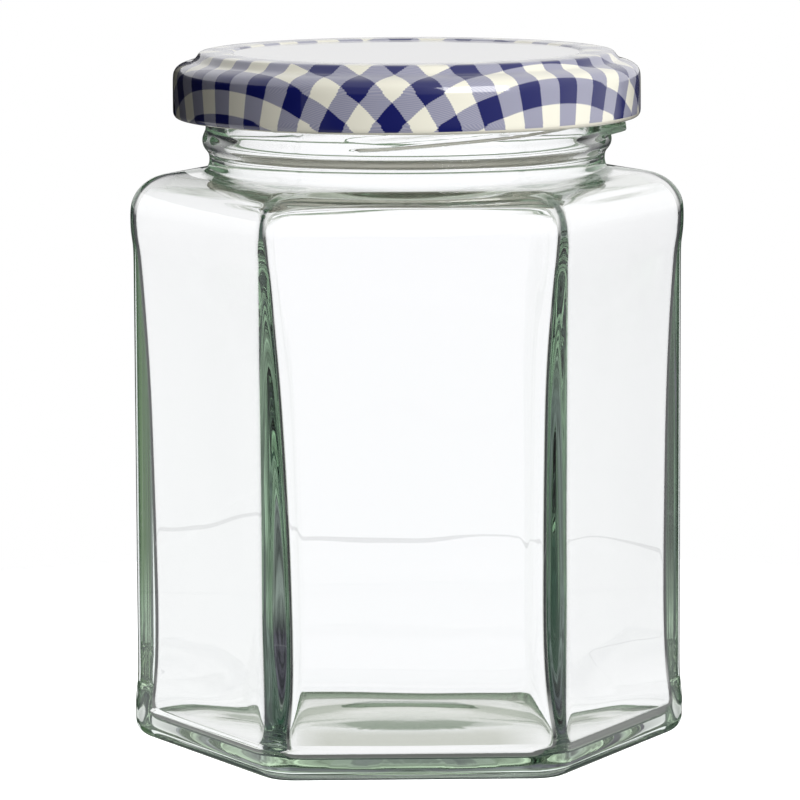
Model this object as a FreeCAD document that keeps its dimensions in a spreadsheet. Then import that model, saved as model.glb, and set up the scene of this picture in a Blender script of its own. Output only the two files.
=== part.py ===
import FreeCAD, Part
import math
import os
import Sketcher
from FreeCAD import Placement, Rotation, Vector

# An empty hexagonal jar of clear glass, shut by a pressed tin cap of the quarter-turn kind.
# The base stands on Z = 0, +Z is up, one flat faces -Y and two corners point to -X and +X.

# Driving dimensions, in millimetres, degrees and counts.
SIZES = {
    # glass body
    "across_flats": 69.3,
    "corner_round": 5.1,
    "body_height": 80.9,
    "shoulder_round": 5.0,
    "heel_round": 2.4,
    "panel_recess": 0.35,
    "lower_band": 6.8,
    "upper_band": 9.0,
    "band_bevel": 0.28,
    # inside of the glass
    "base_thickness": 2.45,
    "shoulder_thickness": 1.7,
    "heel_wall": 3.7,
    "waist_wall": 4.8,
    "chest_wall": 3.9,
    "shoulder_wall": 2.1,
    "waist_height": 24.0,
    "chest_height": 55.0,
    "inner_heel": 2.6,
    "inner_shoulder": 4.2,
    "inner_corner": 1.6,
    "pushup_radius": 26.5,
    "pushup_depth": 2.0,
    "floor_radius": 24.0,
    "floor_rise": 2.05,
    # neck and mouth
    "neck_radius": 27.9,
    "neck_wall": 2.0,
    "neck_height": 15.7,
    "neck_root": 1.5,
    "mouth_flare": 1.8,
    "bead_rise": 2.6,
    "bead_height": 2.1,
    "bead_depth": 1.1,
    "finish_depth": 0.5,
    "lip_round": 0.9,
    "bead_round": 0.7,
    # the screw ribs on the neck and the lugs that hook under them
    "thread_depth": 2.5,
    "thread_lead": 13.0,
    "thread_start": -103.2,
    "thread_turn": 114.0,
    "lug_turn": 104.0,
    "lug_span": 16.0,
    "lug_reach": 1.6,
    "lug_height": 0.75,
    "lug_count": 4.0,
    # cap and its seal
    "tin": 0.25,
    "cap_height": 9.3,
    "curl": 1.5,
    "curl_clearance": 0.6,
    "cap_shoulder": 1.6,
    "ring_round": 0.6,
    "ledge_drop": 1.3,
    "ledge_fall": 0.8,
    "ring_lean": 0.7,
    "panel_drop": 0.3,
    "seal_thickness": 1.05,
    "seal_overhang": 0.5,
    "fit_clearance": 0.1,
    "seal_clearance": 0.35,
}

# Lengths that follow from the driving ones, as expressions on the sheet "Sizes".
APOTHEM = "(Sizes.across_flats / 2)"
PANEL = f"({APOTHEM} - Sizes.panel_recess)"
SHOULDER = "Sizes.body_height"
RIM = f"({SHOULDER} + Sizes.neck_height)"
BORE = "(Sizes.neck_radius - Sizes.neck_wall)"
FINISH = "(Sizes.neck_radius + Sizes.finish_depth)"
BEAD = "(Sizes.neck_radius + Sizes.bead_depth)"
THREAD = f"({FINISH} + Sizes.thread_depth)"
BEAD_Z = f"({SHOULDER} + Sizes.bead_rise)"
CAVITY_TOP = f"({SHOULDER} - Sizes.shoulder_thickness)"
CAP_TOP = f"({RIM} + Sizes.seal_thickness + Sizes.tin)"
CAP_FOOT = f"({CAP_TOP} - Sizes.cap_height)"
CAP_RADIUS = f"({THREAD} + Sizes.curl_clearance + Sizes.curl)"
SEAL_OUT = f"({FINISH} + Sizes.seal_overhang)"
SEAL_IN = f"({BORE} - Sizes.seal_overhang)"
RING_OUT = f"({SEAL_OUT} + Sizes.seal_clearance + Sizes.tin)"
RING_IN = f"({SEAL_IN} - Sizes.seal_clearance - Sizes.tin)"
LEDGE_Z = f"({CAP_TOP} - Sizes.ledge_drop)"
LUG_FOOT = f"({CAP_FOOT} + Sizes.fit_clearance)"
LUG_TOP = f"({LUG_FOOT} + Sizes.lug_height)"
LUG_SLOPE = "(Sizes.thread_lead * Sizes.lug_span / 360)"
# The ribs are as tall as the space that the lugs leave between two of them.
RIB = f"(Sizes.thread_lead / Sizes.lug_count - Sizes.lug_height - {LUG_SLOPE} - 2 * Sizes.fit_clearance)"
LUG_EDGE = "(Sizes.lug_turn - Sizes.lug_span / 2)"
THREAD_Z = f"({LUG_TOP} + Sizes.fit_clearance + {RIB} / 2 - Sizes.thread_lead * {LUG_EDGE} / 360)"

NEAR = 0.01
SINK = 1.0
doc = FreeCAD.newDocument("HexagonalJar")


def make_sheet():
    """Writes each driving dimension into a row of the sheet and gives it its name."""
    sheet = doc.addObject("Spreadsheet::Sheet", "Sizes")
    for row, (name, number) in enumerate(SIZES.items(), start=1):
        sheet.set(f"A{row}", name)
        sheet.set(f"B{row}", str(number))
        sheet.setAlias(f"B{row}", name)
    doc.recompute()
    return sheet


sizes = make_sheet()


def value(expression):
    """The number that an expression on the sheet stands for."""
    return float(sizes.evalExpression(str(expression)))


def make_body(name):
    """A body whose label names its part."""
    body = doc.addObject("PartDesign::Body", name)
    body.Label = name
    return body


def origin_part(body, role):
    """A plane or an axis of the body's own origin."""
    return next(item for item in body.Origin.OriginFeatures if item.Role == role)


def make_sketch(body, name, role, height="0", turn="0"):
    """A sketch on one of the body's planes, lifted by height or turned about the upright axis."""
    sketch = body.newObject("Sketcher::SketchObject", name)
    sketch.AttachmentSupport = (origin_part(body, role), "")
    sketch.MapMode = "FlatFace"
    if role == "XY_Plane":
        sketch.AttachmentOffset = Placement(Vector(0, 0, value(height)), Rotation(Vector(0, 0, 1), value(turn)))
        sketch.setExpression("AttachmentOffset.Base.z", height)
        sketch.setExpression("AttachmentOffset.Rotation.Angle", turn)
    else:
        sketch.AttachmentOffset = Placement(Vector(), Rotation(Vector(0, 1, 0), value(turn)))
        sketch.setExpression("AttachmentOffset.Rotation.Angle", turn)
    return sketch


def pin(sketch, edge, end, across, up):
    """Holds one end of an edge at the place that two expressions give."""
    for kind, expression in (("DistanceX", across), ("DistanceY", up)):
        place = value(expression)
        index = sketch.addConstraint(Sketcher.Constraint(kind, -1, 1, edge, end, place))
        sketch.setExpression(f"Constraints[{index}]", expression)


def outline(sketch, points):
    """Draws a closed outline through points given as two expressions, and a third to round a corner."""
    spots = [Vector(value(across), value(up), 0) for across, up, *_ in points]
    for start, end in zip(spots, spots[1:] + spots[:1]):
        sketch.addGeometry(Part.LineSegment(start, end), False)
    for edge, (across, up, *_) in enumerate(points):
        following = (edge + 1) % len(points)
        sketch.addConstraint(Sketcher.Constraint("Coincident", edge, 2, following, 1))
        pin(sketch, edge, 1, across, up)
    for edge, (_, _, *rounding) in enumerate(points):
        for radius in rounding:
            sketch.fillet((edge - 1) % len(points), 2, value(radius), True, True)
            bend = sketch.GeometryCount - 2
            index = sketch.addConstraint(Sketcher.Constraint("Radius", bend, value(radius)))
            sketch.setExpression(f"Constraints[{index}]", radius)


def hexagon(body, name, height, apothem, corner):
    """A sketch of a hexagon with rounded corners, one side of which faces -Y."""
    sketch = make_sketch(body, name, "XY_Plane", height)
    half = f"(({apothem} - {corner}) * tan(30 deg))"
    for side in range(6):
        angle = f"({60 * side - 90} deg)"
        ends = []
        for sign in ("-", "+"):
            across = f"(({apothem}) * cos{angle} - (0 {sign} {half}) * sin{angle})"
            up = f"(({apothem}) * sin{angle} + (0 {sign} {half}) * cos{angle})"
            ends.append((across, up))
        sketch.addGeometry(Part.LineSegment(*(Vector(value(x), value(y), 0) for x, y in ends)), False)
        pin(sketch, side, 1, *ends[0])
        pin(sketch, side, 2, *ends[1])
    radius = value(corner)
    reach = (value(apothem) - radius) / math.cos(math.radians(30))
    for side in range(6):
        turn = math.radians(60 * side - 60)
        middle = Vector(reach * math.cos(turn), reach * math.sin(turn), 0)
        circle = Part.Circle(middle, Vector(0, 0, 1), radius)
        arc = sketch.addGeometry(Part.ArcOfCircle(circle, turn - math.pi / 6, turn + math.pi / 6), False)
        sketch.addConstraint(Sketcher.Constraint("Coincident", arc, 1, side, 2))
        sketch.addConstraint(Sketcher.Constraint("Coincident", arc, 2, (side + 1) % 6, 1))
        index = sketch.addConstraint(Sketcher.Constraint("Radius", arc, radius))
        sketch.setExpression(f"Constraints[{index}]", corner)
    return sketch


def feature(body, kind, name, profile, **expressions):
    """Adds a feature made from a sketch and binds the sizes that are given."""
    item = body.newObject(f"PartDesign::{kind}", name)
    item.Profile = profile
    for size, expression in expressions.items():
        item.setExpression(size, expression)
    return item


def pad(body, name, profile, length):
    """Raises a flat outline by a length."""
    return feature(body, "Pad", name, profile, Length=length)


def turned(body, kind, name, profile):
    """Turns an outline all round the upright axis, to add it or to cut it."""
    item = feature(body, kind, name, profile)
    item.ReferenceAxis = (origin_part(body, "Z_Axis"), [""])
    item.Angle = 360
    return item


def lathe(body, name, points, kind="Revolution"):
    """Adds or cuts the round shape whose half outline is given as radii and heights."""
    sketch = make_sketch(body, f"{name}_outline", "XZ_Plane")
    outline(sketch, points)
    return turned(body, kind, name, sketch)


def stack(body, kind, name, levels):
    """Adds or cuts the shape that joins hexagons given as heights, apothems and corner radii."""
    sketches = [hexagon(body, f"{name}_{index}", *level) for index, level in enumerate(levels)]
    loft = feature(body, kind, name, sketches[0])
    loft.Sections = [(sketch, [""]) for sketch in sketches[1:]]
    loft.Ruled = True
    return loft


def around(body, name, original, count):
    """Repeats a feature evenly round the upright axis."""
    ring = body.newObject("PartDesign::PolarPattern", name)
    ring.Originals = [original]
    ring.Axis = (origin_part(body, "Z_Axis"), [""])
    ring.Angle = 360
    ring.setExpression("Occurrences", count)
    body.Tip = ring
    return ring


def edges_where(item, height, fits):
    """Names the edges that lie at one height and at all of whose spots a test holds."""
    level = value(height)
    names = []
    for index, edge in enumerate(item.Shape.Edges, start=1):
        spots = edge.discretize(9) if edge.Length > NEAR else [Vector(0, 0, math.inf)]
        if all(abs(spot.z - level) < NEAR and fits(spot) for spot in spots):
            names.append(f"Edge{index}")
    if not names:
        raise RuntimeError(f"{item.Name} has no such edge at {height}")
    return names


def circles_at(item, height, radius):
    """Names the round edges of one height and radius."""
    reach = value(radius)
    return edges_where(item, height, lambda spot: abs(math.hypot(spot.x, spot.y) - reach) < NEAR)


def sides_at(item, height, apothem, corner):
    """Names the edges at one height that make up a hexagon with rounded corners."""
    radius = value(corner)
    core = value(apothem) - radius

    def fits(spot):
        """Whether a spot lies one corner radius outside the sharp hexagon inside the corners."""
        side = round((math.degrees(math.atan2(spot.y, spot.x)) + 90) / 60)
        local = Rotation(Vector(0, 0, 1), -60 * side).multVec(spot)
        past_flat = max(0, -local.y - core)
        past_end = max(0, abs(local.x) - core * math.tan(math.radians(30)))
        return abs(math.hypot(past_flat, past_end) - radius) < NEAR

    return edges_where(item, height, fits)


def dress(body, kind, name, base, edges, **expressions):
    """Rounds or bevels edges of the feature before it."""
    item = body.newObject(f"PartDesign::{kind}", name)
    item.Base = (base, edges)
    for size, expression in expressions.items():
        item.setExpression(size, expression)
    doc.recompute()
    return item


def make_glass():
    """The jar: a six-sided blown body with a round neck, in one piece of glass."""
    body = make_body("jar")
    corner = "Sizes.corner_round"

    # Six flat panels, between a band at the foot and one at the shoulder that stand proud of them.
    band_z = f"({SHOULDER} - Sizes.upper_band)"
    pad(body, "panels", hexagon(body, "panel_sides", "0", PANEL, corner), SHOULDER)
    pad(body, "foot_band", hexagon(body, "foot_sides", "0", APOTHEM, corner), "Sizes.lower_band")
    solid = pad(body, "top_band", hexagon(body, "top_sides", band_z, APOTHEM, corner), "Sizes.upper_band")
    doc.recompute()
    edges = sides_at(solid, "Sizes.lower_band", APOTHEM, corner) + sides_at(solid, band_z, APOTHEM, corner)
    solid = dress(body, "Chamfer", "band_edges", solid, edges, Size="Sizes.band_bevel")
    edges = sides_at(solid, "0", APOTHEM, corner)
    solid = dress(body, "Fillet", "heel", solid, edges, Radius="Sizes.heel_round")
    edges = sides_at(solid, SHOULDER, APOTHEM, corner)
    dress(body, "Fillet", "shoulder", solid, edges, Radius="Sizes.shoulder_round")

    # The round neck: its root, the bead that carries the jar in the works, and the plain finish.
    root = "Sizes.neck_root"
    neck = "Sizes.neck_radius"
    soft = "Sizes.bead_round"
    lathe(body, "neck", [
        ("0", f"{SHOULDER} - {SINK}"),
        (f"{neck} + {root}", f"{SHOULDER} - {SINK}"),
        (f"{neck} + {root}", SHOULDER),
        (neck, f"{SHOULDER} + {root}", root),
        (neck, BEAD_Z),
        (BEAD, f"{BEAD_Z} + Sizes.bead_depth", soft),
        (BEAD, f"{BEAD_Z} + Sizes.bead_height", soft),
        (FINISH, f"{BEAD_Z} + Sizes.bead_height + Sizes.finish_depth"),
        (FINISH, RIM, "Sizes.lip_round"),
        ("0", RIM),
    ])

    # The hollow follows the sides; its wall is thinnest at the shoulder and thickest above the heel.
    floor = "Sizes.base_thickness"
    heel = f"({APOTHEM} - Sizes.heel_wall)"
    shoulder = f"({APOTHEM} - Sizes.shoulder_wall)"
    heel_in = "Sizes.inner_heel"
    top_in = "Sizes.inner_shoulder"
    levels = [
        (floor, f"{heel} - {heel_in}"),
        (f"{floor} + 0.3 * {heel_in}", f"{heel} - 0.3 * {heel_in}"),
        (f"{floor} + {heel_in}", heel),
        ("Sizes.waist_height", f"{APOTHEM} - Sizes.waist_wall"),
        ("Sizes.chest_height", f"{APOTHEM} - Sizes.chest_wall"),
        (f"{CAVITY_TOP} - {top_in}", shoulder),
        (f"{CAVITY_TOP} - 0.3 * {top_in}", f"{shoulder} - 0.3 * {top_in}"),
        (CAVITY_TOP, f"{shoulder} - {top_in}"),
    ]
    stack(body, "SubtractiveLoft", "hollow", [(*level, "Sizes.inner_corner") for level in levels])

    # The base is pushed up: its floor rises to the middle inside, and its underside is a shallow dome.
    lathe(body, "floor", [
        ("0", f"{floor} / 2"),
        ("Sizes.floor_radius", f"{floor} / 2"),
        ("Sizes.floor_radius", floor),
        ("Sizes.floor_radius / 2", f"{floor} + Sizes.floor_rise * 0.75"),
        ("0", f"{floor} + Sizes.floor_rise"),
    ])

    # The mouth opens into the hollow through a flare.
    flare = "Sizes.mouth_flare"
    lathe(body, "mouth", [
        ("0", f"{CAVITY_TOP} - {SINK}"),
        (f"{BORE} + {flare}", f"{CAVITY_TOP} - {SINK}"),
        (f"{BORE} + {flare}", CAVITY_TOP),
        (BORE, f"{CAVITY_TOP} + {flare}"),
        (BORE, f"{RIM} + {SINK}"),
        ("0", f"{RIM} + {SINK}"),
    ], "Groove")
    dome = lathe(body, "pushup", [
        ("0", f"0 - {SINK}"),
        ("Sizes.pushup_radius", f"0 - {SINK}"),
        ("Sizes.pushup_radius", "0"),
        ("Sizes.pushup_radius / 2", "Sizes.pushup_depth * 0.75"),
        ("0", "Sizes.pushup_depth"),
    ], "Groove")
    doc.recompute()
    dress(body, "Fillet", "lip", dome, circles_at(dome, RIM, BORE), Radius="Sizes.lip_round")

    # Four screw ribs, each a stretch of a helix, for the four lugs of the cap.
    rib = make_sketch(body, "rib_outline", "XZ_Plane", turn="Sizes.thread_start")
    inside = f"({FINISH} - Sizes.neck_wall / 3)"
    outline(rib, [
        (inside, f"{THREAD_Z} - {RIB} / 2"),
        (FINISH, f"{THREAD_Z} - {RIB} / 2"),
        (THREAD, f"{THREAD_Z} - {RIB} / 4"),
        (THREAD, f"{THREAD_Z} + {RIB} / 4"),
        (FINISH, f"{THREAD_Z} + {RIB} / 2"),
        (inside, f"{THREAD_Z} + {RIB} / 2"),
    ])
    thread = feature(body, "AdditiveHelix", "rib", rib, Pitch="Sizes.thread_lead",
                     Height="Sizes.thread_lead * Sizes.thread_turn / 360")
    thread.ReferenceAxis = (origin_part(body, "Z_Axis"), [""])
    thread.Mode = "pitch-height-angle"
    around(body, "ribs", thread, "Sizes.lug_count")
    return body


def make_cap():
    """The cap: one piece of thin tin with a stepped top, a curled foot and lugs under the ribs."""
    body = make_body("lid")
    tin = "Sizes.tin"
    lean = "Sizes.ring_lean"
    panel_z = f"({CAP_TOP} - Sizes.panel_drop)"
    side_z = f"({LEDGE_Z} - Sizes.ledge_fall)"
    curl_z = f"({CAP_FOOT} + Sizes.curl / 2)"

    def shell(name, kind, wall):
        """The pressed shape, its faces moved in by a wall."""
        return lathe(body, name, [
            ("0", f"{panel_z} - {wall}"),
            (f"{RING_IN} + {wall} / 2", f"{panel_z} - {wall}"),
            (f"{RING_IN} + {wall} / 2 + Sizes.panel_drop", f"{CAP_TOP} - {wall}"),
            (f"{RING_OUT} - {wall}", f"{CAP_TOP} - {wall}", f"Sizes.ring_round - {wall}"),
            (f"{RING_OUT} + {lean} - {wall}", f"{LEDGE_Z} - {wall}"),
            (f"{CAP_RADIUS} - {wall}", f"{side_z} - {wall}", f"Sizes.cap_shoulder - {wall}"),
            (f"{CAP_RADIUS} - {wall}", curl_z),
            ("0", curl_z),
        ], kind)

    shell("outside", "Revolution", "0")
    shell("inside", "Groove", tin)

    # The foot is rolled inwards into a curl.
    roll = make_sketch(body, "curl_outline", "XZ_Plane")
    middle = f"({CAP_RADIUS} - Sizes.curl / 2)"
    radius = value("Sizes.curl") / 2
    circle = Part.Circle(Vector(value(middle), value(curl_z), 0), Vector(0, 0, 1), radius)
    roll.addGeometry(circle, False)
    pin(roll, 0, 3, middle, curl_z)
    index = roll.addConstraint(Sketcher.Constraint("Radius", 0, radius))
    roll.setExpression(f"Constraints[{index}]", "Sizes.curl / 2")
    turned(body, "Revolution", "curl", roll)

    # A lug is a stretch of the curl pressed inwards, far enough to hook under a rib.
    lug = make_sketch(body, "lug_outline", "XY_Plane", LUG_FOOT, "Sizes.thread_start + Sizes.lug_turn")
    near = f"({CAP_RADIUS} - Sizes.curl - Sizes.lug_reach)"
    half = f"({near} * tan(Sizes.lug_span / 2 * 1 deg))"
    outline(lug, [
        (near, f"0 - {half}"),
        (middle, f"0 - {half}"),
        (middle, half),
        (near, half),
    ])
    first = pad(body, "lug", lug, "Sizes.lug_height")
    around(body, "lugs", first, "Sizes.lug_count")
    return body


def make_seal():
    """The ring of sealing compound between the mouth of the jar and the cap."""
    body = make_body("lid_seal")
    lathe(body, "ring", [
        (SEAL_IN, RIM),
        (SEAL_OUT, RIM),
        (SEAL_OUT, f"{RIM} + Sizes.seal_thickness"),
        (SEAL_IN, f"{RIM} + Sizes.seal_thickness"),
    ])
    return body


def check_and_export(bodies):
    """Stops at any object that failed, then writes each piece to a file of its own."""
    doc.recompute()
    failed = [item.Name for item in doc.Objects if {"Invalid", "Error"} & set(item.State)]
    if failed:
        raise RuntimeError(f"these objects failed: {failed}")
    os.makedirs("parts", exist_ok=True)
    for body in bodies:
        shape = body.Shape
        if shape.isNull() or not shape.isValid() or len(shape.Solids) != 1:
            raise RuntimeError(f"{body.Label} is not one valid solid")
        shape.exportStep(f"parts/{body.Label}.step")
        box = shape.BoundBox
        print(body.Label, f"{shape.Volume:.0f} mm3", f"{box.XLength:.2f} x {box.YLength:.2f} x {box.ZLength:.2f}")


check_and_export([make_glass(), make_cap(), make_seal()])
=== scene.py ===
import math

import bmesh
import bpy
from mathutils import Matrix, Vector, noise


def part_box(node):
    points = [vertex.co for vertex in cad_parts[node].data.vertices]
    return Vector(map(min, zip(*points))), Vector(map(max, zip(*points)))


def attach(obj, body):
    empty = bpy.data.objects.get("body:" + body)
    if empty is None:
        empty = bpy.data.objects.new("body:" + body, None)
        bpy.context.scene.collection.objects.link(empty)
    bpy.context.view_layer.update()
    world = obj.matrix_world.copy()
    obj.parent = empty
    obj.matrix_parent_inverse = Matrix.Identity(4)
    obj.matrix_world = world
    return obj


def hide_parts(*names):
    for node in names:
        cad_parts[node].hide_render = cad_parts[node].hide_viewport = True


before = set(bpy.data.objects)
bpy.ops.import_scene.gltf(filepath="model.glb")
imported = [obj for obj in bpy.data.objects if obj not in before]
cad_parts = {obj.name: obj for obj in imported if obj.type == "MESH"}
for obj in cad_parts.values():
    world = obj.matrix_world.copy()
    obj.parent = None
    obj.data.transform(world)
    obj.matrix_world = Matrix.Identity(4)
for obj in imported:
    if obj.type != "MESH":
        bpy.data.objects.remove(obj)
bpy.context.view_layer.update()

# A hexagonal preserving jar of clear glass with a low tin cap, printed with a gingham check.
# Sizes below are in millimetres and angles in degrees unless they say otherwise; the scene is in metres.
MM = 0.001
JAR_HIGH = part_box("jar")[1] / MM
CAP_LOW, CAP_HIGH = (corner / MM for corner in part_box("lid"))
FLAT = JAR_HIGH.y            # from the axis to a flat side, at the bands
RIM = JAR_HIGH.z             # height of the mouth
CAP_EDGE = CAP_HIGH.x        # radius of the cap
CAP_FOOT, CAP_TOP = CAP_LOW.z, CAP_HIGH.z
HALF_SIDE = math.radians(30)    # the turn from the middle of a flat side to a corner


# ---------------------------------------------------------------- drawing out a wall, ring by ring
def hexagon_reach(turn, flat, corner):
    """How far a hexagon with rounded corners reaches from its axis in one direction; a side faces -Y."""
    off_side = math.radians(abs((math.degrees(turn) + 120) % 60 - 30))
    core = flat - corner
    if math.tan(off_side) <= core * math.tan(HALF_SIDE) / flat:
        return flat / math.cos(off_side)
    middle = core / math.cos(HALF_SIDE)
    off_corner = HALF_SIDE - off_side
    beside = middle * math.sin(off_corner)
    return middle * math.cos(off_corner) + math.sqrt(corner ** 2 - beside ** 2)


def eased(share):
    """Runs from 0 to 1 with the share, slowly at both ends."""
    return share * share * (3 - 2 * share)


def start_ring(name, sides, radius, height):
    """A circle of edges, in edit mode and selected, from which a wall is drawn out."""
    bpy.ops.object.select_all(action="DESELECT")
    bpy.ops.mesh.primitive_circle_add(vertices=sides, radius=radius * MM, location=(0, 0, height * MM))
    piece = bpy.context.object
    piece.name = name
    bpy.ops.object.transform_apply(location=True)
    bpy.ops.object.mode_set(mode="EDIT")
    bpy.ops.mesh.select_mode(type="VERT")
    bpy.ops.mesh.select_all(action="SELECT")
    return piece


def place_ring(piece, height, reach, spread=0):
    """Moves the selected ring to a height, each of its points as far out as reach says. The points also
    keep their spread, which is how far from the middle they lay in the flat sheet."""
    mesh = bmesh.from_edit_mesh(piece.data)
    layer = mesh.verts.layers.float.get("spread") or mesh.verts.layers.float.new("spread")
    for point in mesh.verts:
        if point.select:
            turn = math.atan2(point.co.y, point.co.x)
            out = reach(turn) * MM
            point.co = (out * math.cos(turn), out * math.sin(turn), height * MM)
            point[layer] = spread
    bmesh.update_edit_mesh(piece.data)


def draw_out(piece, height, reach, spread=0):
    """Extrudes the selected ring and places the new one."""
    bpy.ops.mesh.extrude_edges_move()
    place_ring(piece, height, reach, spread=spread)


def rounded(flat, corner, roundness):
    """The reach of a ring between a hexagon, at roundness 0, and a circle of the same width, at 1."""
    return lambda turn: (1 - roundness) * hexagon_reach(turn, flat, corner) + roundness * flat


def finish_piece(piece, levels):
    """Leaves edit mode, turns the faces outwards, smooths the mesh for good and shades it smooth."""
    bpy.ops.mesh.select_all(action="SELECT")
    bpy.ops.mesh.remove_doubles(threshold=0.01 * MM)
    bpy.ops.mesh.normals_make_consistent(inside=False)
    bpy.ops.object.mode_set(mode="OBJECT")
    smooth = piece.modifiers.new("smooth", "SUBSURF")
    smooth.levels = smooth.render_levels = levels
    bpy.ops.object.modifier_apply(modifier="smooth")
    bpy.ops.object.shade_smooth()


# ---------------------------------------------------------------- the glass
CORNER = 5.1                 # round of the upright corners
PANEL = FLAT - 0.35          # from the axis to the flat panels, recessed between the bands
BORE = 25.9                  # radius inside the neck
NECK = 27.9                  # radius outside, at the neck's root
FINISH = 28.4                # radius where the screw ribs stand

# Each level: height, distance to a flat side, corner radius, roundness.
OUTSIDE = [
    # the push-up under the base, and the ring round it that the jar stands on
    (2.00, 1.5, 0, 1), (1.90, 7, 0, 1), (1.50, 13, 0, 1), (0.85, 19, 0, 1), (0.25, 24, 0, 1),
    (0.0, 26.5, 0, 1), (0.0, 29.5, 4.6, 0.35), (0.0, FLAT - 2.4, 4.2, 0),
    # the round of the heel, the lower band, and the fall from it to the panels
    (0.18, FLAT - 1.48, 4.7, 0), (0.70, FLAT - 0.70, 4.9, 0), (1.48, FLAT - 0.18, CORNER, 0),
    (2.4, FLAT, CORNER, 0), (4.0, FLAT, CORNER, 0), (5.4, FLAT - 0.02, CORNER, 0),
    (6.6, FLAT - 0.12, CORNER, 0), (7.8, FLAT - 0.27, CORNER, 0),
    *[(height, PANEL, CORNER, 0) for height in (9.4, 13, 20, 30, 40, 50, 60, 66, 69.6)],
    # the rise to the upper band, and the shoulder
    (70.9, FLAT - 0.27, CORNER, 0), (72.0, FLAT - 0.12, CORNER, 0), (73.2, FLAT - 0.02, CORNER, 0),
    (75.6, FLAT, CORNER, 0), (77.0, FLAT - 0.25, 5.0, 0), (78.4, FLAT - 0.95, 4.6, 0),
    (79.6, FLAT - 2.1, 4.1, 0), (80.4, FLAT - 3.5, 3.6, 0.02), (80.75, FLAT - 4.5, 3.4, 0.2),
    (80.95, 29.55, 3.4, 0.75), (81.2, 28.6, 0, 1), (81.7, 28.1, 0, 1),
    # the neck, with its bead, its plain wall and its lip
    (82.4, NECK, 0, 1), (83.3, NECK, 0, 1), (83.85, 28.1, 0, 1), (84.3, 28.55, 0, 1), (84.9, 28.85, 0, 1),
    (85.6, 28.92, 0, 1), (86.2, 28.75, 0, 1), (86.7, 28.5, 0, 1),
    *[(height, FINISH, 0, 1) for height in (87.1, 87.7, 88.4, 89.2, 90.0, 90.8, 91.6, 92.4, 94.0)],
    (RIM - 0.9, FINISH, 0, 1), (RIM - 0.3, 28.15, 0, 1), (RIM, 27.5, 0, 1),
]
INSIDE = [
    # down the neck and out under the shoulder
    (RIM, 26.8, 0, 1), (RIM - 0.3, 26.15, 0, 1), (RIM - 0.9, BORE, 0, 1), (92, BORE, 0, 1), (86, BORE, 0, 1),
    (82.0, BORE, 0, 1), (80.8, 26.0, 0, 1), (80.0, 26.4, 0, 0.98), (79.5, 27.2, 2.5, 0.85),
    (79.2, 28.4, 2.5, 0.5), (78.9, 29.8, 2.4, 0.15), (78.2, 31.2, 2.2, 0), (77.0, 32.3, 1.8, 0),
    (75.4, 32.8, 1.4, 0), (73.4, 32.8, 1.2, 0),
    # down the walls, which are thickest low down
    (70, 32.3, 1.1, 0), (65, 31.6, 1.0, 0), (55, 30.5, 1.0, 0), (45, 29.95, 1.0, 0), (35, 29.6, 1.0, 0),
    (25, 29.4, 1.2, 0), (16, 29.3, 1.2, 0), (10, 29.7, 1.2, 0), (6.5, 30.3, 1.3, 0), (4.6, 30.6, 1.4, 0),
    # round the inner heel and over the raised floor
    (3.4, 30.2, 1.5, 0), (2.75, 29.4, 1.6, 0), (2.45, 28.2, 1.7, 0.05), (2.45, 26.0, 2, 0.3), (2.8, 22, 0, 1),
    (3.5, 16, 0, 1), (4.2, 9, 0, 1), (4.45, 5, 0, 1), (4.5, 1.5, 0, 1),
]

# The screw ribs on the neck, all alike but for the late one.
RIB_COUNT = 4
RIB_LEAD = 13.0              # how much a rib would rise in a full turn
RIB_TURN = 114.0             # how far each runs round the neck
RIB_START = -103.2           # where the first one starts, round from +X
RIB_LOW = 86.94              # the height of each at its start
RIB_RISE = 2.5               # how far they stand out
RIB_HALF = 0.90              # half of their height
RIB_FLANK = 0.45             # how much of that half is slope
RIB_FADE = 9                 # how far round their ends run out
LATE_RIB, LATE_START = 3, 60    # the last rib is worn flat up to this turn


def make_glass():
    """The blown jar: one skin that runs from under the base up to the rim and down inside to the floor."""
    jar = start_ring("jar_glass", 6, 40, 0)
    bpy.ops.transform.rotate(value=HALF_SIDE, orient_axis="Z", center_override=(0, 0, 0))
    # Each corner becomes seven points, and each side, the only edges over 20 mm long, gets three.
    bpy.ops.mesh.bevel(offset=3.6 * MM, segments=6, affect="VERTICES")
    mesh = bmesh.from_edit_mesh(jar.data)
    for edge in mesh.edges:
        edge.select = edge.calc_length() > 20 * MM
    bmesh.update_edit_mesh(jar.data)
    bpy.ops.mesh.select_mode(type="EDGE")
    bpy.ops.mesh.subdivide(number_cuts=3)
    bpy.ops.mesh.select_mode(type="VERT")
    bpy.ops.mesh.select_all(action="SELECT")
    first, *rest = OUTSIDE + INSIDE
    place_ring(jar, first[0], rounded(*first[1:]))
    bpy.ops.mesh.edge_face_add()
    for height, *shape in rest:
        draw_out(jar, height, rounded(*shape))
    bpy.ops.mesh.edge_face_add()
    finish_piece(jar, 2)
    return jar


def uneven(x, y, z):
    """How far the blown wall swells outwards at a place: slow waves, with a faint ripple over them."""
    slow = noise.noise(Vector((x / 26, y / 26, z / 34 + 5))) * 0.22
    return slow + noise.noise(Vector((x / 9, y / 9, z / 12 + 9))) * 0.03


def rib_rise(angle, height):
    """How far a screw rib stands out from the neck at an angle and a height."""
    most = 0
    for rib in range(RIB_COUNT):
        turn = (angle - RIB_START - 360 / RIB_COUNT * rib) % 360
        turn -= 360 if turn > 340 else 0
        begin = LATE_START if rib == LATE_RIB else -3
        fade = min(1, max(0, turn - begin) / RIB_FADE, max(0, RIB_TURN + 3 - turn) / RIB_FADE)
        off = abs(height - RIB_LOW - RIB_LEAD * turn / 360)
        body = min(1, max(0, RIB_HALF - off) / RIB_FLANK)
        most = max(most, RIB_RISE * fade * eased(body))
    return most


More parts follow.
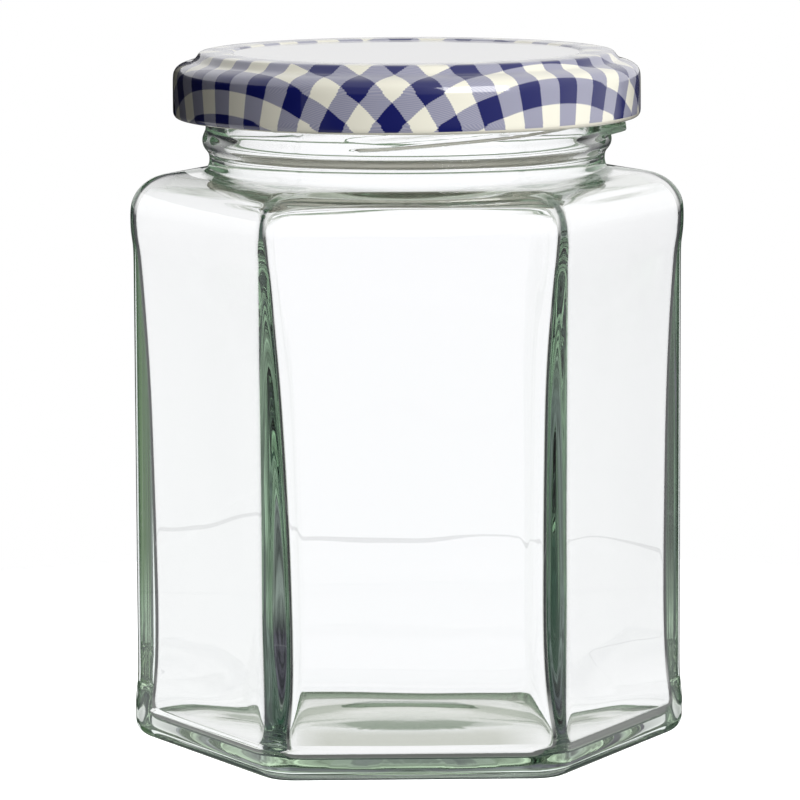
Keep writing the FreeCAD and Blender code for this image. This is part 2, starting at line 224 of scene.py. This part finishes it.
def shape_glass(jar):
    """Adds what the mould and the blowing leave: the screw ribs outside, and uneven walls inside."""
    for point in jar.data.vertices:
        x, y, z = (part / MM for part in point.co)
        radius = math.hypot(x, y)
        turn = math.atan2(y, x)
        wall = hexagon_reach(turn, FLAT, CORNER) - radius
        if 4 < z < 79 and 1.2 < wall < 8:
            # The inner walls also lean to the right, the more so the lower they are.
            swell, lean = uneven(x, y, z), 0.7 * max(0, 1 - z / 60)
            point.co += Vector((x / radius * swell + lean, y / radius * swell, 0)) * MM
        if radius > 28.0 and 85.2 < z < RIM - 0.5:
            rise = rib_rise(math.degrees(turn), z)
            if rise > 0:
                point.co.x = x * (radius + rise) / radius * MM
                point.co.y = y * (radius + rise) / radius * MM


jar = make_glass()
shape_glass(jar)
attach(jar, "root")
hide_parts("jar")

# ---------------------------------------------------------------- the cap
TIN = 0.25                   # thickness of the sheet
DISC = CAP_TOP - 0.3         # height of the cap's flat middle
# Each level of the pressed tin, from the disc outwards: radius and height.
CAP_PROFILE = [
    # up to the ring, over it and down to the ledge
    (24.2, DISC), (24.55, CAP_TOP - 0.28), (24.8, CAP_TOP - 0.1), (25.1, CAP_TOP), (27.5, CAP_TOP),
    (28.9, CAP_TOP - 0.03), (29.25, CAP_TOP - 0.18), (29.45, CAP_TOP - 0.5), (29.8, CAP_TOP - 0.95),
    # the ledge, the shoulder and the skirt
    (30.05, CAP_TOP - 1.2), (30.4, CAP_TOP - 1.34), (31.2, CAP_TOP - 1.55), (32.0, CAP_TOP - 1.85),
    (32.55, CAP_TOP - 2.25), (32.9, CAP_TOP - 2.85), (CAP_EDGE, CAP_TOP - 3.5), (CAP_EDGE, CAP_TOP - 6),
    (CAP_EDGE, CAP_FOOT + 1.2), (CAP_EDGE, CAP_FOOT + 0.75),
    # the foot, rolled inwards
    (CAP_EDGE - 0.22, CAP_FOOT + 0.22), (CAP_EDGE - 0.75, CAP_FOOT), (CAP_EDGE - 1.28, CAP_FOOT + 0.22),
    (CAP_EDGE - 1.5, CAP_FOOT + 0.75), (CAP_EDGE - 1.28, CAP_FOOT + 1.28), (CAP_EDGE - 0.8, CAP_FOOT + 1.45),
]
TO_FOOT = CAP_PROFILE[:19]
# The flat length from the middle of the cap to where the print ends, just above the rolled foot.
PRINT_EDGE = CAP_PROFILE[0][0] + 0.35 + sum(math.dist(one, two) for one, two in zip(TO_FOOT, TO_FOOT[1:]))

# The four lugs.
LUG_EVERY = 90
LUG_START = 0.8              # where the first one is, round from +X
LUG_HALF = 10.5              # how far round from its middle to its end
LUG_FADE = 2.5               # how far round that end takes to rise to the rolled foot
LUG_REACH = 1.6              # how far inwards they are pressed


def make_cap():
    """The cap, drawn from a flat printed disc: its panel, ring, ledge and skirt, and the foot rolled in."""
    middle = 2
    cap = start_ring("cap_tin", 96, middle, DISC)
    place_ring(cap, DISC, lambda turn: middle, spread=middle)
    bpy.ops.mesh.edge_face_add()
    flat = 0
    before = (0, DISC)
    for radius, height in [(8, DISC), (16, DISC)] + CAP_PROFILE:
        flat += math.hypot(radius - before[0], height - before[1])
        draw_out(cap, height, lambda turn: radius, spread=flat)
        before = (radius, height)
    finish_piece(cap, 1)
    # Two slots, filled below: the print outside, and the lacquer on the face that the thickness adds.
    cap.data.materials.append(None)
    cap.data.materials.append(None)
    wall = cap.modifiers.new("wall", "SOLIDIFY")
    wall.thickness = TIN * MM
    wall.offset = -1
    wall.material_offset = 1
    bpy.ops.object.modifier_apply(modifier="wall")
    return cap


def press_lugs(cap):
    """Four stretches of the rolled foot are pressed flat and inwards, under the ribs of the neck."""
    for point in cap.data.vertices:
        x, y, z = (part / MM for part in point.co)
        radius = math.hypot(x, y)
        off = abs((math.degrees(math.atan2(y, x)) - LUG_START + LUG_EVERY / 2) % LUG_EVERY - LUG_EVERY / 2)
        press = min(1, max(0, LUG_HALF - off) / LUG_FADE)
        press *= min(1, max(0, CAP_EDGE - 0.8 - radius) / 0.5)
        if press > 0 and z < CAP_FOOT + 2:
            press = eased(press)
            point.co.x -= x / radius * LUG_REACH * press * MM
            point.co.y -= y / radius * LUG_REACH * press * MM
            point.co.z -= (z - CAP_FOOT - 0.1) * 0.45 * press * MM


cap = make_cap()
press_lugs(cap)
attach(cap, "root")
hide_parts("lid")


# ---------------------------------------------------------------- shader helpers
def linear(hex_code):
    """An sRGB hex colour as the linear numbers that the shaders use."""
    parts = [int(hex_code[place:place + 2], 16) / 255 for place in (1, 3, 5)]
    return [part / 12.92 if part <= 0.04045 else ((part + 0.055) / 1.055) ** 2.4 for part in parts] + [1]


def node(tree, kind, settings=None, **links):
    """Adds a node, sets its properties, and fills its inputs: with a value, or from another node's socket.
    An input is given by its name, with _ for a space, or by _ and its number."""
    made = tree.nodes.new(kind)
    for key, value in (settings or {}).items():
        setattr(made, key, value)
    for key, value in links.items():
        index = key.strip("_")
        socket = made.inputs[int(index)] if index.isdigit() else made.inputs[key.replace("_", " ")]
        if isinstance(value, bpy.types.NodeSocket):
            tree.links.new(value, socket)
        else:
            socket.default_value = value
    return made


def new_material(name):
    """An empty node material, its node tree and its output node."""
    made = bpy.data.materials.new(name)
    made.use_nodes = True
    made.node_tree.nodes.clear()
    return made, made.node_tree, made.node_tree.nodes.new("ShaderNodeOutputMaterial")


def maths(tree, operation, *values):
    """A sum, product or the like of two or three numbers or sockets."""
    links = {f"_{place}": value for place, value in enumerate(values)}
    return node(tree, "ShaderNodeMath", {"operation": operation}, **links).outputs[0]


def times(tree, one, two):
    """The product of two numbers."""
    return maths(tree, "MULTIPLY", one, two)


def over(tree, value, limit):
    """1 where a number is over the limit, or else 0."""
    return maths(tree, "GREATER_THAN", value, limit)


def below(tree, value, limit):
    """1 where a number is below the limit, or else 0."""
    return maths(tree, "LESS_THAN", value, limit)


def between(tree, value, low, high):
    """1 where a number lies between two limits, or else 0."""
    return times(tree, over(tree, value, low), below(tree, value, high))


def ranged(tree, value, low, high, start, end):
    """Runs from start to end while a number runs from low to high."""
    return node(tree, "ShaderNodeMapRange", _0=value, _1=low, _2=high, _3=start, _4=end).outputs[0]


def blend(tree, share, one, two):
    """One colour where share is 0 and the other where it is 1."""
    return node(tree, "ShaderNodeMix", {"data_type": "RGBA"}, _0=share, _6=one, _7=two).outputs[2]


def split(tree, vector):
    """The three parts of a vector."""
    return node(tree, "ShaderNodeSeparateXYZ", _0=vector).outputs


def steps(tree, count, colours):
    """Picks a colour by a whole number: the first for 0, the next for 1, and the last for all beyond."""
    ramp = node(tree, "ShaderNodeValToRGB", {}, _0=maths(tree, "DIVIDE", count, 10))
    ramp.color_ramp.interpolation = "CONSTANT"
    ramp.color_ramp.elements[0].color = (*colours[0], 1)
    ramp.color_ramp.elements[1].position = 0.05
    ramp.color_ramp.elements[1].color = (*colours[1], 1)
    for place, colour in enumerate(colours[2:], start=2):
        ramp.color_ramp.elements.new((place - 0.5) / 10).color = (*colour, 1)
    return ramp.outputs[0]


# ---------------------------------------------------------------- finishes
CHECK = 6.89                 # one repeat of the gingham: a stripe and the gap beside it
CHECK_TURN = 38.07           # how far its stripes are turned, from +X
CHECK_SHIFT = -1.65, 0.326   # where its stripes lie, across and down, from the middle of the cap
HATCH_LINES = 18             # lines of the hatch in one repeat along the stripes
HATCH_JUMP = 0.012           # how far the edge of a stripe jumps from line to line, in repeats
DRAWN_FROM = 31              # the spread beyond which deep drawing stretched the sheet
DRAWN_SHARE = 0.927          # a length of the print there, as a share of the drawn sheet
PLAIN_MIDDLE = 24.45         # radius of the white disc in the middle
REPEATS_BEFORE_ZERO = 20     # whole repeats, and whole lines of the hatch, which keep the numbers above
LINES_BEFORE_ZERO = 500      # zero all over the cap


def glass_material():
    """Soda-lime glass, blown and fire-polished: clear face on, green along a long way through it."""
    made, tree, out = new_material("soda_lime_glass")
    body = node(tree, "ShaderNodeBsdfPrincipled", Base_Color=(1, 1, 1, 1), Roughness=0.0, IOR=1.5,
                Transmission_Weight=1.0)
    clear = node(tree, "ShaderNodeBsdfTransparent", Color=(0.96, 0.98, 0.965, 1))
    path = node(tree, "ShaderNodeLightPath")
    mix = node(tree, "ShaderNodeMixShader", _0=path.outputs["Is Shadow Ray"], _1=body.outputs[0],
               _2=clear.outputs[0])
    tree.links.new(mix.outputs[0], out.inputs["Surface"])
    tint = node(tree, "ShaderNodeVolumeAbsorption", Color=(0.80, 0.95, 0.84, 1), Density=8)
    tree.links.new(tint.outputs[0], out.inputs["Volume"])
    return made


def print_material():
    """Gingham printed on flat tin before it is pressed, under a clear gloss lacquer. The half tone is a
    hatch of fine lines, 0.27 mm apart."""
    made, tree, out = new_material("lacquered_print_on_tin")
    place = node(tree, "ShaderNodeTexCoord").outputs["Object"]
    flat = node(tree, "ShaderNodeVectorMath", {"operation": "MULTIPLY"}, _0=place, _1=(1, 1, 0))
    aim = node(tree, "ShaderNodeVectorMath", {"operation": "NORMALIZE"}, _0=flat.outputs[0]).outputs[0]
    spread = node(tree, "ShaderNodeAttribute", {"attribute_name": "spread"}).outputs["Fac"]
    # Beyond the ring the print sits nearer its middle than the drawn sheet does.
    drawn = maths(tree, "MULTIPLY_ADD", spread, DRAWN_SHARE, DRAWN_FROM * (1 - DRAWN_SHARE))
    printed = maths(tree, "MINIMUM", spread, drawn)
    sheet = node(tree, "ShaderNodeVectorMath", {"operation": "SCALE"}, _0=aim, Scale=printed)
    grid = node(tree, "ShaderNodeMapping", {"vector_type": "TEXTURE"}, _0=sheet.outputs[0],
                Rotation=(0, 0, math.radians(CHECK_TURN)), Scale=(CHECK, CHECK, 1))
    across, down, _ = split(tree, grid.outputs[0])
    diagonal = times(tree, maths(tree, "ADD", across, down), HATCH_LINES)
    hatch = below(tree, maths(tree, "FRACT", maths(tree, "ADD", diagonal, LINES_BEFORE_ZERO)), 0.5)
    stripes = []
    for part, jump, shift in zip((across, down), (HATCH_JUMP, -HATCH_JUMP), CHECK_SHIFT):
        part = maths(tree, "MULTIPLY_ADD", hatch, jump, part)
        part = maths(tree, "FRACT", maths(tree, "ADD", part, 0.25 + shift / CHECK + REPEATS_BEFORE_ZERO))
        stripes.append(below(tree, part, 0.5))
    half = blend(tree, hatch, linear("#9e9eae"), linear("#8c8da3"))
    light = blend(tree, maths(tree, "MAXIMUM", *stripes), linear("#ebe8d8"), half)
    ink = blend(tree, times(tree, *stripes), light, linear("#10165a"))
    # The unprinted border is wider to the right, because the sheet lay a little off the die.
    border = maths(tree, "MULTIPLY_ADD", split(tree, aim)[0], -0.35, PRINT_EDGE)
    ink = blend(tree, over(tree, spread, border), ink, linear("#dedacb"))
    ink = blend(tree, below(tree, spread, PLAIN_MIDDLE), ink, linear("#f6f5f8"))
    body = node(tree, "ShaderNodeBsdfPrincipled", Base_Color=ink, Roughness=0.4, Specular_IOR_Level=0.15,
                Coat_Weight=1.0, Coat_Roughness=0.06)
    tree.links.new(body.outputs[0], out.inputs["Surface"])
    return made


def uneven_paint(name, grain, one, two, roughness):
    """A plain finish that runs between two close colours, with a grain given in waves per metre."""
    made, tree, out = new_material(name)
    place = node(tree, "ShaderNodeTexCoord").outputs["Object"]
    runs = node(tree, "ShaderNodeTexNoise", Vector=place, Scale=grain)
    colour = blend(tree, runs.outputs[0], linear(one), linear(two))
    body = node(tree, "ShaderNodeBsdfPrincipled", Base_Color=colour, Roughness=roughness)
    tree.links.new(body.outputs[0], out.inputs["Surface"])
    return made


jar.data.materials.append(glass_material())
cap.data.materials[0] = print_material()
# The pale sanitary lacquer inside the cap, a little uneven where it ran before it was baked.
cap.data.materials[1] = uneven_paint("baked_white_lacquer", 120.0, "#dcd8ca", "#e8e5da", 0.3)
# Plastisol sealing compound, poured and cured: a dull off-white.
seal_finish = uneven_paint("plastisol_seal", 900.0, "#d8d4c8", "#e4e1d6", 0.55)
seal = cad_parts["lid_seal"]
for spot in seal.material_slots:
    spot.material = seal_finish

# ---------------------------------------------------------------- what the glass shows of the studio
PLAIN = (1, 1, 1, 1)            # plain white, which also leaves as it is what it multiplies
WHITE = (1.085, 1.085, 1.11)    # a little over 1, for what the glass itself takes from the light
# What a ray caught in a thick wall finds when it leaves, by the number of turns it took: first high up,
# where turns 2 to 5 are left to the room, then close above the table and seen through the base.
CAUGHT_HIGH = [WHITE] + [(0.03, 0.03, 0.036)] * 5 + [(0.03, 0.058, 0.045)]
CAUGHT_LOW = [WHITE, (0.15, 0.155, 0.15), (0.56, 0.67, 0.53), (0.50, 0.62, 0.48), (0.42, 0.54, 0.42),
              (0.38, 0.50, 0.38), (0.26, 0.36, 0.26)]
# The same for a ray that passed four or five faces of glass, and for one that passed more.
PAST_FOUR = [WHITE, (0.72, 0.73, 0.68), (0.46, 0.50, 0.43), (0.22, 0.29, 0.21)]
PAST_SIX = [WHITE, (1, 1, 1), (0.50, 0.54, 0.48), (0.18, 0.24, 0.18)]
# The dark of the room, each time to the left and to the right.
PLANTS = (0.010, 0.020, 0.010, 1), (0.055, 0.125, 0.030, 1)
GREY_WALL = (0.090, 0.085, 0.110, 1), (0.22, 0.23, 0.24, 1)
DEEP_TEAL = (0.11, 0.14, 0.13, 1)
# What a ray that leaves steeply upwards finds: after a few turns, and after seven or more.
STEEP = (0.50, 0.61, 0.46, 1), (0.05, 0.055, 0.065, 1)


def room_seen(tree, near, turns, across, along, up):
    """The colours of the room, laid over those that the turns alone give."""
    right = ranged(tree, across, -0.15, 0.15, 0.0, 1.0)
    green, grey = blend(tree, right, *PLANTS), blend(tree, right, *GREY_WALL)
    room = blend(tree, ranged(tree, along, -0.1, 0.1, 0.0, 1.0), green, grey)
    near = blend(tree, between(tree, turns, 1.5, 5.5), near, room)
    near = blend(tree, times(tree, over(tree, turns, 5.5), right), near, DEEP_TEAL)
    steep = times(tree, ranged(tree, up, 0.2, 0.5, 0.0, 1.0), over(tree, turns, 1.5))
    near = blend(tree, steep, near, blend(tree, over(tree, turns, 6.5), *STEEP))
    # One turn in the shoulder sends a ray up to the white above.
    lifted = ranged(tree, up, 0.0, 0.3, 0.0, 0.9)
    return blend(tree, times(tree, between(tree, turns, 0.5, 1.5), lifted), near, PLAIN)


def mottled(tree, colour, aim, turns):
    """Breaks up a colour for rays that were caught, as the uneven glass does."""
    mottle = node(tree, "ShaderNodeTexNoise", Vector=aim, Scale=9.0, Detail=3.0).outputs[0]
    mottle = blend(tree, over(tree, turns, 1.5), PLAIN, ranged(tree, mottle, 0.35, 0.65, 0.4, 1.6))
    return node(tree, "ShaderNodeMix", {"data_type": "RGBA", "blend_type": "MULTIPLY"}, _0=1.0, _6=colour,
                _7=mottle).outputs[2]


def reflected_first(tree, along, up):
    """What a first reflection finds: white at the sides, behind and above, and the dim room in front."""
    sides = times(tree, ranged(tree, along, -0.8, -0.1, 0.05, 1.0), ranged(tree, along, 0.9, 1.0, 1.0, 0.88))
    under = times(tree, ranged(tree, along, 0.52, 0.65, 0.0, 0.95), below(tree, up, 0.0))
    sides = times(tree, sides, maths(tree, "SUBTRACT", 1.0, under))
    ceiling, back = ranged(tree, up, 0.35, 0.8, 0.0, 1.0), ranged(tree, up, 0.0, 0.1, 0.0, 0.45)
    return maths(tree, "MAXIMUM", sides, maths(tree, "MAXIMUM", ceiling, back))


def light_seen(tree, aim, path, low):
    """The studio's light as a ray finds it. Straight through the glass all is white. A ray that was caught
    inside a wall comes out where the room is dark: green plants in front, grey behind, darker to the left."""
    turns, walls = path.outputs["Glossy Depth"], path.outputs["Transmission Depth"]
    across, along, up = split(tree, aim)
    if low:
        near = steps(tree, turns, CAUGHT_LOW)
    else:
        near = room_seen(tree, steps(tree, turns, CAUGHT_HIGH), turns, across, along, up)
    seen = blend(tree, over(tree, walls, 3.5), mottled(tree, near, aim, turns), steps(tree, turns, PAST_FOUR))
    seen = blend(tree, over(tree, walls, 5.5), seen, steps(tree, turns, PAST_SIX))
    outer = below(tree, walls, 0.5)
    first = times(tree, outer, over(tree, turns, 0.5))
    seen = blend(tree, first, seen, reflected_first(tree, along, up))
    return blend(tree, times(tree, outer, below(tree, turns, 0.5)), seen, PLAIN)


def any_of(tree, path, *flags):
    """1 for a ray of any of these kinds, or else 0."""
    first, *rest = (path.outputs[flag] for flag in flags)
    for flag in rest:
        first = maths(tree, "MAXIMUM", first, flag)
    return first


# ---------------------------------------------------------------- studio, in metres
FLOOR_RADIUS = 0.155
CARD_RADIUS, CARD_HEIGHT = 0.046, 0.0185
CARD_MIDDLE = 0.09225        # how high the middle of the card stands
CARD_ARC = 34, 135           # from the front of the cap round by its left, in degrees


def table_material():
    """A sheet of matt white board, which shines enough to leave no edge. Rays from the glass find it
    coloured like the studio, with the line of its own far edge and the jar's own shade."""
    made, tree, out = new_material("white_table")
    path = node(tree, "ShaderNodeLightPath")
    geometry = node(tree, "ShaderNodeNewGeometry")
    place = geometry.outputs["Position"]
    aim = node(tree, "ShaderNodeVectorMath", {"operation": "SCALE"}, _0=geometry.outputs["Incoming"],
               Scale=-1.0).outputs[0]
    away = node(tree, "ShaderNodeVectorMath", {"operation": "LENGTH"}, _0=place).outputs["Value"]
    far, low = light_seen(tree, aim, path, False), light_seen(tree, aim, path, True)
    seen = blend(tree, ranged(tree, away, 0.05, 0.12, 1.0, 0.0), far, low)
    # Through the jar, the table's far edge shows as a faint grey line.
    wave = node(tree, "ShaderNodeTexNoise", Vector=place, Scale=25.0).outputs[0]
    edge = over(tree, maths(tree, "MULTIPLY_ADD", wave, 0.010, away), FLOOR_RADIUS + 0.0025)
    seen = blend(tree, times(tree, edge, 0.3), seen, (0.45, 0.45, 0.47, 1))
    # Under the base, the jar's own shade is olive grey, deepest in front.
    across, along, _ = split(tree, place)
    deep = times(tree, ranged(tree, along, -0.004, 0.014, 1.0, 0.0), over(tree, along, -0.019))
    middle = ranged(tree, maths(tree, "ABSOLUTE", across), 0.012, 0.019, 1.0, 0.0)
    shade = times(tree, deep, times(tree, middle, 0.75))
    straight = below(tree, path.outputs["Glossy Depth"], 0.5)
    seen = blend(tree, times(tree, shade, straight), seen, (0.44, 0.46, 0.38, 1))
    dull = node(tree, "ShaderNodeBsdfDiffuse", Color=(0.9, 0.9, 0.9, 1))
    glow = node(tree, "ShaderNodeEmission", Color=seen, Strength=1.0)
    shine = node(tree, "ShaderNodeEmission", Color=PLAIN, Strength=0.62)
    plain = node(tree, "ShaderNodeAddShader", _0=dull.outputs[0], _1=shine.outputs[0])
    direct = node(tree, "ShaderNodeMixShader", _0=path.outputs["Is Camera Ray"], _1=dull.outputs[0],
                  _2=plain.outputs[0])
    from_glass = any_of(tree, path, "Is Glossy Ray", "Is Transmission Ray")
    mix = node(tree, "ShaderNodeMixShader", _0=from_glass, _1=direct.outputs[0], _2=glow.outputs[0])
    tree.links.new(mix.outputs[0], out.inputs["Surface"])
    return made


def add_table():
    """A round table just under the jar."""
    bpy.ops.object.select_all(action="DESELECT")
    bpy.ops.mesh.primitive_circle_add(vertices=96, radius=FLOOR_RADIUS, fill_type="NGON",
                                      location=(0, 0, -0.0002))
    floor = bpy.context.object
    floor.name = "table"
    bpy.ops.object.transform_apply(location=True)
    floor.data.materials.append(table_material())


def add_world():
    """The studio all round. Matt surfaces are lit from the right and from above, because the left of the
    studio is black cloth."""
    world = bpy.data.worlds.new("studio")
    bpy.context.scene.world = world
    world.use_nodes = True
    tree = world.node_tree
    tree.nodes.clear()
    out = node(tree, "ShaderNodeOutputWorld")
    aim = node(tree, "ShaderNodeTexCoord").outputs["Generated"]
    path = node(tree, "ShaderNodeLightPath")
    across, _, up = split(tree, aim)
    lit = maths(tree, "MULTIPLY_ADD", across, 0.32, 0.02)
    lit = maths(tree, "MAXIMUM", maths(tree, "MULTIPLY_ADD", up, 0.45, lit), 0.015)
    looked = any_of(tree, path, "Is Glossy Ray", "Is Transmission Ray", "Is Camera Ray")
    seen = light_seen(tree, aim, path, False)
    sky = node(tree, "ShaderNodeBackground", Color=blend(tree, looked, lit, seen), Strength=1.0)
    tree.links.new(sky.outputs[0], out.inputs["Surface"])
    # Rays caught in the thick walls turn many times before they leave.
    bpy.context.scene.cycles.glossy_bounces = 28
    bpy.context.scene.cycles.transmission_bounces = 16
    bpy.context.scene.cycles.max_bounces = 32


def add_card():
    """A strip of black card round the left of the cap, which shades it and shows in what it reflects."""
    bpy.ops.object.select_all(action="DESELECT")
    bpy.ops.mesh.primitive_cylinder_add(vertices=72, radius=CARD_RADIUS, depth=CARD_HEIGHT,
                                        end_fill_type="NOTHING", location=(0, 0, CARD_MIDDLE))
    card = bpy.context.object
    card.name = "black_card"
    bpy.ops.object.transform_apply(location=True)
    mesh = bmesh.new()
    mesh.from_mesh(card.data)
    drop = []
    for face in mesh.faces:
        middle = face.calc_center_median()
        if not CARD_ARC[0] < math.degrees(math.atan2(-middle.x, -middle.y)) < CARD_ARC[1]:
            drop.append(face)
    bmesh.ops.delete(mesh, geom=drop, context="FACES")
    mesh.to_mesh(card.data)
    mesh.free()
    made, tree, out = new_material("black_cloth")
    dull = node(tree, "ShaderNodeBsdfDiffuse", Color=(0.01, 0.01, 0.01, 1))
    tree.links.new(dull.outputs[0], out.inputs["Surface"])
    card.data.materials.append(made)
    card.visible_camera = card.visible_transmission = False


def add_lamp(name, place, aim, size, watts):
    """A soft square lamp at a place, turned to what it lights."""
    data = bpy.data.lights.new(name, "AREA")
    data.size, data.energy = size, watts
    lamp = bpy.data.objects.new(name, data)
    lamp.location = place
    lamp.rotation_euler = (Vector(aim) - Vector(place)).to_track_quat("-Z", "Y").to_euler()
    lamp.visible_transmission = False
    bpy.context.scene.collection.objects.link(lamp)


def add_camera():
    """The camera stands a little left of the front, level with a low shelf above the jar."""
    left, distance, height, aimed_at = 1.14, 719.66, 147.85, 48.16
    data = bpy.data.cameras.new("camera")
    data.lens, data.sensor_width = 229.9, 36
    camera = bpy.data.objects.new("camera", data)
    bpy.context.scene.collection.objects.link(camera)
    turn = Matrix.Rotation(math.radians(-1.2), 4, "Z")
    pitch = math.atan2(height - aimed_at, distance)
    roll = Matrix.Rotation(-0.0043, 4, "Z")
    look = Matrix.Rotation(math.pi / 2 - pitch, 4, "X") @ roll
    camera.matrix_world = turn @ Matrix.Translation(Vector((-left, -distance, height)) * MM) @ look
    bpy.context.scene.camera = camera


add_table()
add_world()
add_card()
# A broad soft lamp to the right of the camera lights the cap and lays a streak along its shoulder.
add_lamp("key", (0.434, -0.668, 0.42), (0, 0, 0.09), 0.5, 7.6)
add_camera()
bpy.context.scene.view_settings.view_transform = "Standard"
